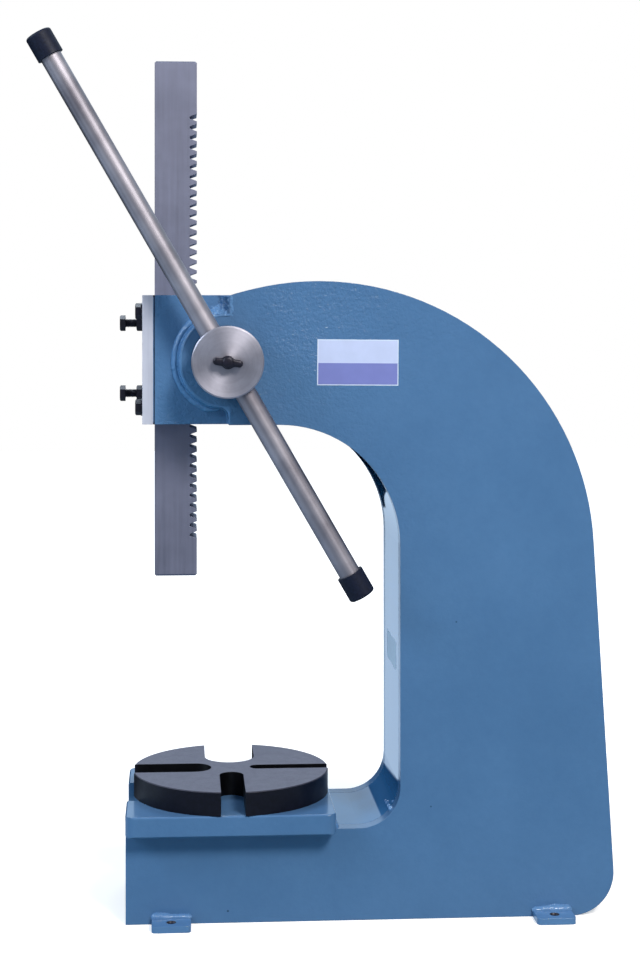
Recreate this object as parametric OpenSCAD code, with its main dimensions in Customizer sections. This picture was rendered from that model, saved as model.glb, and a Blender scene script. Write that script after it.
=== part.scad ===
// Arbor press: a rack-and-pinion hand press with a welded box frame.
//
// Millimetres, Z up. The origin is the centre of the four foot holes, on the bench, and Y = 0 is
// the middle plane. The operator stands at -X and the column is at +X. The lever is on the -Y side.
// Inside the modules x is measured from the ram's axis, and from_ram() puts a piece in its place.

/* [Frame] */
// Width across the two side plates
frame_w = 142; // [118:1:172]
// Thickness of a side plate
plate_t = 15; // [12:0.5:18]
// Thickness of the rolled strips that close the frame between its side plates
strip_t = 8; // [5:0.5:10]
// How far the rear strip lies inside the side plates' edge
strip_set = 2; // [1:0.5:4]
// Depth of the throat, from the ram's axis to the web
throat_d = 208; // [173:1:250]
// Height of the pinion's axis above the bench
axis_h = 518; // [431:1:622]
// Height of the base under the bed plate
base_h = 85; // [70:1:102]
// How far the base reaches in front of the ram's axis
base_front = 46; // [38:1:56]
// Depth of the column behind the throat
column_d = 182; // [152:0.5:218]
// Height of the arm's crown above the pinion's axis
crown_rise = 74; // [68:0.5:90]
// Radius of the arm's crown
crown_r = 257.5; // [240:0.5:300]
// Radius of the throat's upper corner
arch_r = 112; // [94:1:134]
// Radius of the throat's lower corner
toe_r = 38; // [31:1:46]
// Radius of the column's rear corner at the bench
heel_r = 40; // [33:1:48]
// Lean of the column's back, in degrees
back_lean = 3.5; // [0:0.1:6]

/* [Head] */
// Height of the head block
head_h = 120; // [110:1:144]
// Height of the pinion's axis above the underside of the head
head_drop = 59; // [52:1:70]
// Wall of the head block behind the pinion
block_wall = 13.5; // [10:0.5:20]
// Radius of the side plates' round nose about the pinion's axis
nose_r = 43.2; // [38:0.1:50]
// How far the side plates' front edge stands behind the pinion's axis
plate_setback = 2; // [0:0.5:8]
// Radius of the head block's corners, seen from the side
block_corner_r = 3; // [1:0.5:6]
// Thickness of the cover plate in front of the ram
cover_t = 10; // [8:0.5:14]
// Depth of the pocket for the gib in the cover plate
gib_pocket = 5; // [3:0.5:6]
// Length of the gib
gib_len = 104; // [80:1:108]
// Distance between the two gib adjusting screws
adjust_span = 67; // [50:1:72]
// Distance of the cover bolts from the head's upper and lower edges
bolt_edge = 15; // [12:0.5:20]

/* [Ram and pinion] */
// Width of the square ram
ram_w = 40; // [33:1:48]
// Length of the ram
ram_len = 488; // [406:1:586]
// Height of the ram's lower end above the table, at rest
daylight = 187; // [150:1:220]
// Chamfer on the ram's ends
ram_chamfer = 1.6; // [0.5:0.1:3]
// Plain length of the ram below its teeth
plain_low = 34; // [20:0.5:60]
// Plain length of the ram above its teeth
plain_top = 48; // [20:0.5:80]
// Module of the rack and the pinion
gear_module = 3; // [2:0.25:3.75]
// Number of teeth on the pinion
pinion_teeth = 20; // [18:1:22]
// Pressure angle of the teeth, in degrees
pressure_angle = 20; // [18:0.5:22]
// Clearance between the flanks of meshing teeth
backlash = 0.16; // [0.1:0.02:0.4]
// Face width of the pinion
pinion_w = 38; // [28:1:39]
// Diameter of the pinion's shaft
shaft_d = 30; // [25:1:34]
// Wall of a shaft bush
bush_wall = 5; // [3:0.5:6]
// Thickness of a bush's flange
flange_t = 2; // [1.5:0.5:4]
// Width of the flange beyond the bush
flange_w = 6; // [4:0.5:10]
// Width of the shaft key
key_w = 8; // [6:1:10]
// Height of the shaft key
key_h = 7; // [6:0.5:8]
// Length of the shaft key
key_len = 32; // [20:1:36]
// Diameter of the retaining collar
collar_d = 46; // [42:1:56]
// Width of the retaining collar
collar_w = 14; // [12:0.5:20]

/* [Lever] */
// Diameter of the lever's hub
hub_d = 66; // [55:1:79]
// Length of the lever's hub
hub_len = 34; // [32:1:44]
// Chamfer on the hub's front edge
hub_chamfer = 1.2; // [0.5:0.1:3]
// Diameter of the lever bar
lever_d = 20; // [16:0.5:24]
// Length of the lever bar
lever_len = 586; // [488:1:703]
// How far the bar is pushed up through the hub, from its middle
lever_shift = 48; // [-60:1:60]
// Tilt of the lever from upright, its top towards the operator, in degrees
lever_tilt = 30; // [0:1:60]
// Length of a rubber cap, with its end
cap_len = 24; // [16:0.5:40]
// Wall of a rubber cap
cap_wall = 2.5; // [1.5:0.1:4]
// Thickness of a rubber cap's end
cap_end = 3; // [2:0.5:6]
// Width across the wings of the clamping screw
wing_span = 27.2; // [22:0.2:36]
// Thickness of a wing's round end
wing_t = 7; // [5:0.5:9]
// Thickness of a wing next to the boss
wing_waist = 5.5; // [4:0.5:8]
// Reach of the wings along the screw
wing_reach = 8; // [6:0.5:14]
// Diameter of the wing screw's boss
wing_boss_d = 12.5; // [10:0.5:16]
// Chamfer on the front edges of the wings' ends and the boss
wing_chamfer = 1; // [0.5:0.1:1.5]
// Angle that the wings stand at, in degrees
wing_angle = 6; // [0:1:90]

/* [Table] */
// Length of the bed plate, front to back
bed_len = 193; // [170:1:230]
// Width of the bed plate
bed_w = 184; // [172:1:220]
// Thickness of the bed plate
bed_t = 19; // [14:0.5:24]
// Radius of the bed plate's corners
bed_corner_r = 9; // [4:0.5:14]
// Chamfer along the bed plate's edges
bed_chamfer = 1.2; // [0.5:0.1:2.5]
// Width of the bed plate's work slot
bed_slot_w = 66; // [55:1:79]
// Diameter of the table plate
table_d = 187; // [160:1:200]
// Thickness of the table plate
table_t = 22; // [17:0.5:26]
// Distance from the ram's axis to the table plate's centre
table_x = 52.5; // [46:0.5:60]
// Widths of the four work slots: rear, far, front and near
slot_widths = [15, 48, 32, 22.5]; // [12:0.5:50]
// Distance from the table's centre to the inner end of each slot
slot_root = 18.5; // [15:0.5:24]
// Chamfer round the table plate's top
table_chamfer = 0.8; // [0.4:0.1:2]
// Diameter of the table's pivot pin
pivot_d = 16; // [12:0.5:20]
// Height of the pivot pin above the bed
pivot_h = 10; // [6:0.5:14]

/* [Feet] */
// Distance from the ram's axis forward to the front foot holes
front_hole_x = 4; // [0:1:12]
// Distance between the front and rear foot holes
hole_span = 354; // [330:1:354]
// Length of a foot lug along the base
lug_len = 36; // [30:1:44]
// How far a foot lug stands out from the side plate
lug_reach = 25; // [22:1:32]
// Thickness of a foot lug
lug_t = 6; // [5:0.5:10]
// Radius of a foot lug's outer corners
lug_corner_r = 4; // [2:0.5:8]
// Distance from the side plate to the foot hole's centre
hole_reach = 13; // [12:0.5:15]
// Diameter of a foot hole
foot_hole_d = 9; // [7:0.5:11]

/* [Fasteners] */
// Thread diameter of the bolts and screws
screw_d = 8; // [6:1:10]
// Width across the flats of a bolt head or nut
hex_flats = 13; // [10:1:16]
// Height of a bolt head
hex_t = 5.3; // [4:0.1:7]
// Height of a lock nut
nut_t = 6.5; // [5:0.1:8]
// Depth of the chamfer on the corners of a head or nut
hex_chamfer = 0.7; // [0.3:0.1:1]
// Length of a cover bolt
bolt_len = 30; // [25:1:36]
// Length of an adjusting screw under its head
adjust_len = 22; // [20:1:28]
// Diameter of a washer
washer_d = 16; // [14:0.5:20]
// Thickness of a washer
washer_t = 1.6; // [1:0.1:2.5]

/* [Fits] */
// Radial clearance of a running fit
run_gap = 0.05; // [0.02:0.01:0.1]
// Radial clearance of a fixed fit
fit_gap = 0.02; // [0.01:0.01:0.05]
// Radial clearance of a screw in its hole
thread_gap = 0.05; // [0.02:0.01:0.1]
// Gap between faces that turn or stop against each other
face_gap = 0.3; // [0.2:0.05:0.5]
// Gap between the pinion's tips and its pocket
pocket_gap = 1.5; // [1:0.1:3]
// Gap between the head block's front and the ram
front_gap = 1; // [0.5:0.1:2]

/* [Hidden] */
$fn = 96;

// Colours
paint = [0.29, 0.46, 0.63];
bare_steel = [0.66, 0.64, 0.65];
rack_steel = [0.46, 0.48, 0.54];
cover_steel = [0.72, 0.74, 0.80];
black_oxide = [0.20, 0.20, 0.24];
rubber = [0.09, 0.10, 0.15];
bronze = [0.72, 0.52, 0.30];

// Small sizes that stay as they are
// Chamfer on the ends of the pivot pin, the shaft and the lever bar
end_chamfer = 1;
// How far the shaft stands out of its collar
shaft_tail = 2;
// Depth of the key's seat in the shaft, and the gap over the key
key_sunk = 4;
key_gap = 0.2;
// Radial clearance of the cover bolts in the cover plate and in their washers
bolt_gap = 0.5;
// Depth of a bolt's hole beyond the bolt's end
hole_tail = 2;
// Depth of the set screw's socket
socket_t = 4;
// How much smaller the rounding of a rubber cap's end is than the end's thickness
cap_flat = 0.5;
// How far the wing screw's boss stands out behind and in front of the wings
wing_step = 1;
// Gap over the pivot pin, inside the table plate
pivot_gap = 1.5;
// How far the throat strip starts behind the bed plate's slot
strip_start = 7;
// How far cutting outlines run out in front of the base
clear_front = 60;
// How far a cut runs past the face that it opens
over = 1;

// Places worked out from the sizes above
ram_x = -(hole_span / 2 - front_hole_x);
inner_w = frame_w - 2 * plate_t;
plate_y = frame_w / 2;
arm_z = axis_h - head_drop;
bed_top = base_h + bed_t;
table_z = bed_top + run_gap;
ram_z = table_z + table_t + daylight;

// Rack and pinion
pitch = PI * gear_module;
pitch_r = gear_module * pinion_teeth / 2;
base_r = pitch_r * cos(pressure_angle);
tip_r = pitch_r + gear_module;
dedendum = 1.25 * gear_module;
root_r = pitch_r - dedendum;
tooth_slope = tan(pressure_angle);
pinion_x = ram_w / 2 - gear_module + pitch_r;
rack_spaces = floor((ram_len - plain_low - plain_top) / pitch);
rack_z = plain_low + pitch / 2;
pinion_phase = 180 - (ram_z + rack_z - axis_h) / pitch_r * 180 / PI;
flank_steps = 6;

// Head
channel_w = ram_w + 2 * run_gap;
block_front = -(ram_w / 2 + front_gap);
block_back = pinion_x + tip_r + pocket_gap + block_wall;
plate_front = pinion_x + plate_setback;
head_mid = arm_z + head_h / 2;
cover_front = block_front - cover_t;
bolt_seat = cover_front - washer_t;
pocket_floor = block_front - gib_pocket;
bolt_y = (channel_w + inner_w) / 4;
bolt_zs = [arm_z + bolt_edge, arm_z + head_h - bolt_edge];
adjust_zs = [head_mid - adjust_span / 2, head_mid + adjust_span / 2];
screw_r = screw_d / 2;
hole_r = screw_r + thread_gap;
hex_r = hex_flats / 2 / cos(30);

// Shaft, hub and lever
shaft_r = shaft_d / 2;
bush_r = shaft_r + bush_wall;
bush_end = channel_w / 2 + fit_gap;
hub_back = -(plate_y + flange_t + face_gap);
hub_front = hub_back - hub_len;
lever_y = hub_back - hub_len / 2;
collar_y = plate_y + flange_t + face_gap;
shaft_end = collar_y + collar_w + shaft_tail;
lever_r = lever_d / 2;
lever_low = lever_shift - lever_len / 2;
lever_high = lever_shift + lever_len / 2;
cap_r = lever_r + cap_wall;

// Side plates' outline
crown_z = axis_h + crown_rise - crown_r;
crown_x = throat_d + column_d - crown_r;
back_normal = [cos(back_lean), sin(back_lean)];
back_top = [crown_x, crown_z] + crown_r * back_normal;
heel_x = back_top[0] + (back_top[1] - heel_r) * tan(back_lean) - heel_r / cos(back_lean);
arch_x = throat_d - arch_r;
arch_z = arm_z - arch_r;
toe_x = throat_d - toe_r;
toe_z = base_h + toe_r;
floor_start = bed_slot_w / 2 + strip_start;
outline_left = -base_front - clear_front;

// How far a slanting edge runs inside the arcs that it joins, so that the two cross cleanly
tuck = 0.01;

// ---------- shared shapes ----------

// Moves a piece drawn about the ram's axis into the part's frame
module from_ram() {
    translate([ram_x, 0, 0]) children();
}

// Stands a side outline, drawn in x and z, up about the middle plane
module profile(width) {
    rotate([90, 0, 0]) linear_extrude(height = width, center = true) children();
}

// Stands a front outline, drawn in y and z, up about the ram's axis
module front_profile(length) {
    rotate([90, 0, 90]) linear_extrude(height = length, center = true) children();
}

// A round bar along Y
module bar_y(y0, y1, r) {
    translate([0, y1, 0]) rotate([90, 0, 0]) cylinder(h = y1 - y0, r = r);
}

// A round bar along X
module bar_x(x0, x1, r) {
    translate([x0, 0, 0]) rotate([0, 90, 0]) cylinder(h = x1 - x0, r = r);
}

// A hexagonal head or nut along X, with two corners up and down and chamfered corners at x0
module hex_x(x0, x1) {
    tall = x1 - x0;
    end_r = hex_r - hex_chamfer / tan(30);
    translate([x0, 0, 0]) rotate([0, 90, 0]) intersection() {
        cylinder(h = tall, r = hex_r, $fn = 6);
        cylinder(h = tall, r1 = end_r, r2 = end_r + tall / tan(30));
    }
}

// A rectangle with four round corners
module soft_rect(size, r) {
    translate([r, 0]) square([size[0] - 2 * r, size[1]]);
    translate([0, r]) square([size[0], size[1] - 2 * r]);
    for (x = [r, size[0] - r], y = [r, size[1] - r]) {
        translate([x, y]) circle(r = r);
    }
}

// A rectangle from x0, z0 with four chamfered corners
module eased_rect(x0, z0, width, height, c) {
    translate([x0, z0]) polygon([
        [c, 0], [width - c, 0], [width, c], [width, height - c],
        [width - c, height], [c, height], [0, height - c], [0, c]
    ]);
}

// ---------- frame ----------

// The open throat from the side, larger all round by grow
module throat_outline(grow = 0) {
    left = outline_left;
    translate([left, base_h - grow]) square([arch_x - left, arm_z - base_h + 2 * grow]);
    translate([left, base_h - grow]) square([toe_x - left, arch_z - base_h + grow]);
    translate([left, toe_z]) square([throat_d + grow - left, arch_z - toe_z]);
    translate([arch_x, arch_z]) circle(r = arch_r + grow);
    translate([toe_x, toe_z]) circle(r = toe_r + grow);
}

// The frame's outer outline from the side, smaller all round by inset, with the throat still full
module outer_outline(inset = 0) {
    crown = [crown_x, crown_z];
    heel = [heel_x, heel_r];
    intersection() {
        translate(crown) circle(r = crown_r - inset);
        translate([plate_front, crown_z]) square([2 * crown_r, crown_r]);
    }
    polygon([
        [-base_front, inset], [heel_x, inset], heel, heel + (heel_r - inset - tuck) * back_normal,
        crown + (crown_r - inset - tuck) * back_normal, crown, [-base_front, crown_z]
    ]);
    translate(heel) circle(r = heel_r - inset);
}

// A side plate's outline, with its round nose and the bore for the bush
module plate_outline() {
    difference() {
        union() {
            difference() {
                outer_outline();
                throat_outline();
            }
            translate([pinion_x, axis_h]) circle(r = nose_r);
        }
        translate([pinion_x, axis_h]) circle(r = bush_r + fit_gap);
    }
}

module side_plate(side) {
    color(paint) from_ram() translate([0, side * (frame_w - plate_t) / 2, 0])
        profile(plate_t) plate_outline();
}

module side_plate_near() {
    side_plate(-1);
}

module side_plate_far() {
    side_plate(1);
}

// Rolled strip that lines the throat, from the head to under the bed plate
module throat_strip() {
    left = outline_left - over;
    color(paint) from_ram() profile(inner_w) difference() {
        throat_outline(strip_t);
        throat_outline();
        translate([left, arch_z]) square([block_back - left, arch_r + strip_t + over]);
        translate([left, 0]) square([floor_start - left, toe_z]);
    }
}

// Rolled strip that closes the arm's top, the column's back and the heel
module rear_strip() {
    left = -base_front - over;
    color(paint) from_ram() profile(inner_w) difference() {
        outer_outline(strip_set);
        outer_outline(strip_set + strip_t);
        translate([left, 0]) square([heel_x - left, crown_z]);
        translate([left, crown_z]) square([block_back - left, crown_r + over]);
    }
}

// Block between the side plates, with the ram's channel and the pinion's pocket
module head_block() {
    color(paint) from_ram() difference() {
        profile(inner_w) translate([block_front, arm_z])
            soft_rect([block_back - block_front, head_h], block_corner_r);
        translate([block_front - over, -channel_w / 2, arm_z - over])
            cube([ram_w / 2 + run_gap - block_front + over, channel_w, head_h + 2 * over]);
        translate([pinion_x, 0, axis_h]) bar_y(-channel_w / 2, channel_w / 2, tip_r + pocket_gap);
        translate([pinion_x, 0, axis_h])
            bar_y(-inner_w / 2 - over, inner_w / 2 + over, bush_r + fit_gap);
        for (y = [-bolt_y, bolt_y], z = bolt_zs) {
            translate([0, y, z]) bar_x(block_front - over, bolt_seat + bolt_len + hole_tail, hole_r);
        }
    }
}

// Thick plate under the table, with a slot that lets long work hang through
module bed_plate() {
    color(paint) from_ram() difference() {
        intersection() {
            translate([-base_front, -bed_w / 2, base_h])
                linear_extrude(height = bed_t) soft_rect([bed_len, bed_w], bed_corner_r);
            profile(bed_w + 2 * over)
                eased_rect(-base_front, base_h, bed_len, bed_t, bed_chamfer);
            translate([bed_len / 2 - base_front, 0, 0]) front_profile(bed_len + 2 * over)
                eased_rect(-bed_w / 2, base_h, bed_w, bed_t, bed_chamfer);
        }
        translate([0, 0, base_h - over]) cylinder(h = bed_t + 2 * over, r = bed_slot_w / 2);
        translate([-base_front - over, -bed_slot_w / 2, base_h - over])
            cube([base_front + over, bed_slot_w, bed_t + 2 * over]);
        translate([table_x, 0, base_h - over])
            cylinder(h = bed_t + 2 * over, r = pivot_d / 2 + fit_gap);
    }
}

module table_pivot() {
    pin_len = bed_t + pivot_h - end_chamfer;
    pin_r = pivot_d / 2;
    color(bare_steel) from_ram() translate([table_x, 0, base_h]) {
        cylinder(h = pin_len, r = pin_r);
        translate([0, 0, pin_len]) cylinder(h = end_chamfer, r1 = pin_r, r2 = pin_r - end_chamfer);
    }
}

// A drilled lug that is welded to a side plate, flush with the bench
module foot_lug(x, side) {
    color(paint) from_ram() translate([x, side * plate_y, 0]) mirror([0, side < 0 ? 1 : 0, 0])
        difference() {
            translate([-lug_len / 2, 0, 0]) linear_extrude(height = lug_t) {
                square([lug_len, lug_reach - lug_corner_r]);
                translate([lug_corner_r, 0]) square([lug_len - 2 * lug_corner_r, lug_reach]);
                for (corner = [lug_corner_r, lug_len - lug_corner_r]) {
                    translate([corner, lug_reach - lug_corner_r]) circle(r = lug_corner_r);
                }
            }
            translate([0, hole_reach, -over]) cylinder(h = lug_t + 2 * over, r = foot_hole_d / 2);
        }
}

module foot_lug_front_near() {
    foot_lug(-front_hole_x, -1);
}

module foot_lug_front_far() {
    foot_lug(-front_hole_x, 1);
}

module foot_lug_rear_near() {
    foot_lug(hole_span - front_hole_x, -1);
}

module foot_lug_rear_far() {
    foot_lug(hole_span - front_hole_x, 1);
}

// ---------- cover and gib ----------

// Plate that closes the ram's channel, with a pocket for the gib
module cover_plate() {
    color(cover_steel) from_ram() difference() {
        translate([cover_front, -inner_w / 2, arm_z]) cube([cover_t, inner_w, head_h]);
        translate([pocket_floor, -channel_w / 2, head_mid - gib_len / 2 - run_gap])
            cube([gib_pocket + over, channel_w, gib_len + 2 * run_gap]);
        for (y = [-bolt_y, bolt_y], z = bolt_zs) {
            translate([0, y, z]) bar_x(cover_front - over, block_front + over, screw_r + bolt_gap);
        }
        for (z = adjust_zs) {
            translate([0, 0, z]) bar_x(cover_front - over, block_front, hole_r);
        }
    }
}

// Flat gib that the adjusting screws press against the ram
module ram_gib() {
    color(bronze) from_ram()
        translate([pocket_floor + run_gap, -ram_w / 2, head_mid - gib_len / 2])
            cube([gib_pocket + front_gap - 2 * run_gap, ram_w, gib_len]);
}

module cover_bolts() {
    color(black_oxide) from_ram() for (y = [-bolt_y, bolt_y], z = bolt_zs) {
        translate([0, y, z]) {
            hex_x(bolt_seat - hex_t, bolt_seat);
            bar_x(bolt_seat, bolt_seat + bolt_len, screw_r);
        }
    }
}

module cover_washers() {
    color(black_oxide) from_ram() for (y = [-bolt_y, bolt_y], z = bolt_zs) {
        translate([0, y, z]) difference() {
            bar_x(bolt_seat, cover_front, washer_d / 2);
            bar_x(bolt_seat - over, cover_front + over, screw_r + bolt_gap);
        }
    }
}

module adjusting_screws() {
    color(black_oxide) from_ram() for (z = adjust_zs) {
        translate([0, 0, z]) {
            hex_x(pocket_floor - adjust_len - hex_t, pocket_floor - adjust_len);
            bar_x(pocket_floor - adjust_len, pocket_floor, screw_r);
        }
    }
}

module lock_nuts() {
    color(black_oxide) from_ram() for (z = adjust_zs) {
        translate([0, 0, z]) difference() {
            hex_x(cover_front - nut_t, cover_front);
            bar_x(cover_front - nut_t - over, cover_front + over, hole_r);
        }
    }
}

// ---------- pinion shaft ----------

// Flanged bush, pressed through a side plate and a cheek of the head block
module bush(side) {
    color(bronze) from_ram() translate([pinion_x, 0, axis_h]) mirror([0, side < 0 ? 1 : 0, 0])
        difference() {
            union() {
                bar_y(bush_end, plate_y, bush_r);
                bar_y(plate_y, plate_y + flange_t, bush_r + flange_w);
            }
            bar_y(bush_end - over, plate_y + flange_t + over, shaft_r + run_gap);
        }
}

module bush_near() {
    bush(-1);
}

module bush_far() {
    bush(1);
}

// Turns a piece drawn upright at the hub's middle to the lever's tilt
module at_lever() {
    from_ram() translate([pinion_x, lever_y, axis_h]) rotate([0, -lever_tilt, 0]) children();
}

// Shaft turned in one piece with the lever's hub, which is cross-drilled for the bar
module lever_shaft() {
    color(bare_steel) difference() {
        from_ram() translate([pinion_x, 0, axis_h]) {
            bar_y(hub_front + hub_chamfer, hub_back, hub_d / 2);
            translate([0, hub_front + hub_chamfer, 0]) rotate([90, 0, 0])
                cylinder(h = hub_chamfer, r1 = hub_d / 2, r2 = hub_d / 2 - hub_chamfer);
            bar_y(hub_back, shaft_end - end_chamfer, shaft_r);
            translate([0, shaft_end, 0]) rotate([90, 0, 0])
                cylinder(h = end_chamfer, r1 = shaft_r - end_chamfer, r2 = shaft_r);
        }
        at_lever() cylinder(h = hub_d + 2 * over, r = lever_r + run_gap, center = true);
        from_ram() translate([pinion_x, 0, axis_h]) {
            bar_y(hub_front - over, lever_y, hole_r);
            translate([-key_w / 2, -key_len / 2, shaft_r - key_sunk])
                cube([key_w, key_len, key_sunk + over]);
        }
    }
}

// Involute function, in degrees
function involute(angle) = tan(angle) * 180 / PI - angle;

// Half the angle that a pinion tooth fills at a radius
function half_tooth(r) = 90 / pinion_teeth - backlash / 2 / pitch_r * 90 / PI
    + involute(pressure_angle) - involute(acos(min(1, base_r / r)));

function polar(r, angle) = [r * cos(angle), r * sin(angle)];

// The outline of one tooth about its centre line, root to root
function tooth_points(centre) = let (
    radii = [for (i = [0 : flank_steps]) base_r + (tip_r - base_r) * i / flank_steps],
    foot = half_tooth(base_r)
) concat(
    [polar(root_r, centre - foot)],
    [for (r = radii) polar(r, centre - half_tooth(r))],
    [for (i = [flank_steps : -1 : 0]) polar(radii[i], centre + half_tooth(radii[i]))],
    [polar(root_r, centre + foot)]
);

// Pinion with true involute teeth, in mesh with the rack
module pinion() {
    color(rack_steel) from_ram() translate([pinion_x, 0, axis_h]) difference() {
        profile(pinion_w) polygon([
            for (i = [0 : pinion_teeth - 1])
                for (point = tooth_points(pinion_phase + 360 / pinion_teeth * i)) point
        ]);
        bar_y(-pinion_w / 2 - over, pinion_w / 2 + over, shaft_r + fit_gap);
        translate([-key_w / 2 - fit_gap, -pinion_w / 2 - over, 0])
            cube([key_w + 2 * fit_gap, pinion_w + 2 * over, shaft_r - key_sunk + key_h + key_gap]);
    }
}

module shaft_key() {
    color(bare_steel) from_ram()
        translate([pinion_x - key_w / 2, -key_len / 2, axis_h + shaft_r - key_sunk])
            cube([key_w, key_len, key_h]);
}

// Set collar that holds the shaft at its far end
module retaining_collar() {
    color(bare_steel) from_ram() translate([pinion_x, 0, axis_h]) difference() {
        bar_y(collar_y, collar_y + collar_w, collar_d / 2);
        bar_y(collar_y - over, collar_y + collar_w + over, shaft_r + fit_gap);
        translate([0, collar_y + collar_w / 2, 0]) cylinder(h = collar_d, r = hole_r);
    }
}

// Socket set screw in the collar
module collar_screw() {
    color(black_oxide) from_ram()
        translate([pinion_x, collar_y + collar_w / 2, axis_h + shaft_r + face_gap]) difference() {
            cylinder(h = collar_d / 2 - shaft_r - 2 * face_gap, r = screw_r);
            translate([0, 0, collar_d / 2 - shaft_r - socket_t])
                cylinder(h = socket_t, r = screw_r / 2, $fn = 6);
        }
}

// ---------- ram ----------

// The outline of one tooth space on the ram's rear face, from below
function space_points(z) = let (
    half = pitch / 4 + backlash / 4,
    face = ram_w / 2,
    mouth = half + gear_module * tooth_slope,
    floor_half = half - dedendum * tooth_slope,
    floor_x = face - gear_module - dedendum
) [[face, z - mouth], [floor_x, z - floor_half], [floor_x, z + floor_half], [face, z + mouth]];

// Square ram with the rack cut in its rear face
module ram() {
    w = ram_w / 2;
    c = ram_chamfer;
    color(rack_steel) from_ram() translate([0, 0, ram_z]) intersection() {
        profile(ram_w) polygon(concat(
            [[-w, c], [-w + c, 0], [w - c, 0], [w, c]],
            [for (i = [0 : rack_spaces - 1]) for (point = space_points(rack_z + i * pitch)) point],
            [[w, ram_len - c], [w - c, ram_len], [-w + c, ram_len], [-w, ram_len - c]]
        ));
        front_profile(ram_w + 2 * over) eased_rect(-w, 0, ram_w, ram_len, c);
    }
}

// ---------- lever ----------

module lever_bar() {
    end_r = lever_r - end_chamfer;
    color(bare_steel) at_lever() {
        translate([0, 0, lever_low + end_chamfer])
            cylinder(h = lever_len - 2 * end_chamfer, r = lever_r);
        translate([0, 0, lever_low]) cylinder(h = end_chamfer, r1 = end_r, r2 = lever_r);
        translate([0, 0, lever_high - end_chamfer])
            cylinder(h = end_chamfer, r1 = lever_r, r2 = end_r);
    }
}

// Rubber cap with a rounded end, open at z = 0 and closed at its top
module lever_cap() {
    soft = cap_end - cap_flat;
    rotate_extrude() difference() {
        union() {
            square([cap_r, cap_len - soft]);
            square([cap_r - soft, cap_len]);
            intersection() {
                translate([cap_r - soft, cap_len - soft]) circle(r = soft);
                square([cap_r, cap_len]);
            }
        }
        translate([-over, -over]) square([lever_r + fit_gap + over, cap_len - cap_end + over]);
    }
}

module lever_cap_upper() {
    color(rubber) at_lever() translate([0, 0, lever_high - cap_len + cap_end]) lever_cap();
}

module lever_cap_lower() {
    color(rubber) at_lever() translate([0, 0, lever_low + cap_len - cap_end])
        mirror([0, 0, 1]) lever_cap();
}

// A round stub from y0 back to y1 whose front edge is chamfered
module wing_stub(y0, y1, r) {
    bar_y(y0 + wing_chamfer, y1, r);
    translate([0, y0 + wing_chamfer, 0]) rotate([90, 0, 0])
        cylinder(h = wing_chamfer, r1 = r, r2 = r - wing_chamfer);
}

// Screw that clamps the bar in the hub, with two wings to turn it by
module wing_screw() {
    lobe_x = (wing_span - wing_t) / 2;
    boss_back = hub_front - face_gap;
    wing_back = boss_back - wing_step;
    wing_front = wing_back - wing_reach;
    color(black_oxide) from_ram() translate([pinion_x, 0, axis_h]) rotate([0, wing_angle, 0]) {
        bar_y(boss_back, lever_y - lever_r - face_gap, screw_r);
        wing_stub(wing_front - wing_step, boss_back, wing_boss_d / 2);
        for (x = [-lobe_x, lobe_x]) {
            translate([x, 0, 0]) wing_stub(wing_front, wing_back, wing_t / 2);
        }
        translate([-lobe_x, wing_front + wing_chamfer, -wing_waist / 2])
            cube([2 * lobe_x, wing_reach - wing_chamfer, wing_waist]);
    }
}

// ---------- table ----------

// Round table plate with four work slots of different widths, turned about its pivot
module table_plate() {
    table_r = table_d / 2;
    color(black_oxide) from_ram() translate([table_x, 0, table_z]) difference() {
        union() {
            cylinder(h = table_t - table_chamfer, r = table_r);
            translate([0, 0, table_t - table_chamfer])
                cylinder(h = table_chamfer, r1 = table_r, r2 = table_r - table_chamfer);
        }
        for (i = [0 : len(slot_widths) - 1]) {
            rotate(i * 360 / len(slot_widths))
                translate([slot_root + slot_widths[i] / 2, 0, -over]) {
                    cylinder(h = table_t + 2 * over, r = slot_widths[i] / 2);
                    translate([0, -slot_widths[i] / 2, 0])
                        cube([table_r, slot_widths[i], table_t + 2 * over]);
                }
        }
        translate([0, 0, -over]) cylinder(h = pivot_h + pivot_gap + over, r = pivot_d / 2 + run_gap);
    }
}

side_plate_near();
side_plate_far();
throat_strip();
rear_strip();
head_block();
bed_plate();
table_pivot();
foot_lug_front_near();
foot_lug_front_far();
foot_lug_rear_near();
foot_lug_rear_far();
cover_plate();
ram_gib();
cover_bolts();
cover_washers();
adjusting_screws();
lock_nuts();
bush_near();
bush_far();
lever_shaft();
pinion();
shaft_key();
retaining_collar();
collar_screw();
ram();
lever_bar();
lever_cap_upper();
lever_cap_lower();
wing_screw();
table_plate();
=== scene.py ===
"""Looks for the arbor press: finishes, welds, screws, blank label, floor, light and camera."""

import math
import random

import bpy
from mathutils import Matrix, Vector, noise


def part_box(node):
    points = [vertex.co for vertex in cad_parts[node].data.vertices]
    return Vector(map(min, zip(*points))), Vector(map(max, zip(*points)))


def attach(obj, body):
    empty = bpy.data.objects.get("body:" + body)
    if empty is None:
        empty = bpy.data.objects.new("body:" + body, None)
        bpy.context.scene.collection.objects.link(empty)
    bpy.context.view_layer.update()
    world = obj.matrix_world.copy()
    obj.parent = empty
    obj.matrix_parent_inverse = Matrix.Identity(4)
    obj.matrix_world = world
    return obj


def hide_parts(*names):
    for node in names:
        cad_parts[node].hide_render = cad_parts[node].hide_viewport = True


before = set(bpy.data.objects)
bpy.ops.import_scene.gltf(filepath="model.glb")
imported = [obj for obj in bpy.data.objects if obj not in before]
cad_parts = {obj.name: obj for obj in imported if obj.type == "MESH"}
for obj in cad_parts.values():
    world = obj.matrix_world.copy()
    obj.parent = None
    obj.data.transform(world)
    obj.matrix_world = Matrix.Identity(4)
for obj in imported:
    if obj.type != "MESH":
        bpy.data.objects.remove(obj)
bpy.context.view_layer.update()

MM = 0.001
IMAGE_W = 640
IMAGE_H = 958
SIDES = (("near", -1), ("far", 1))


# ---------- places taken from the frame ----------

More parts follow.
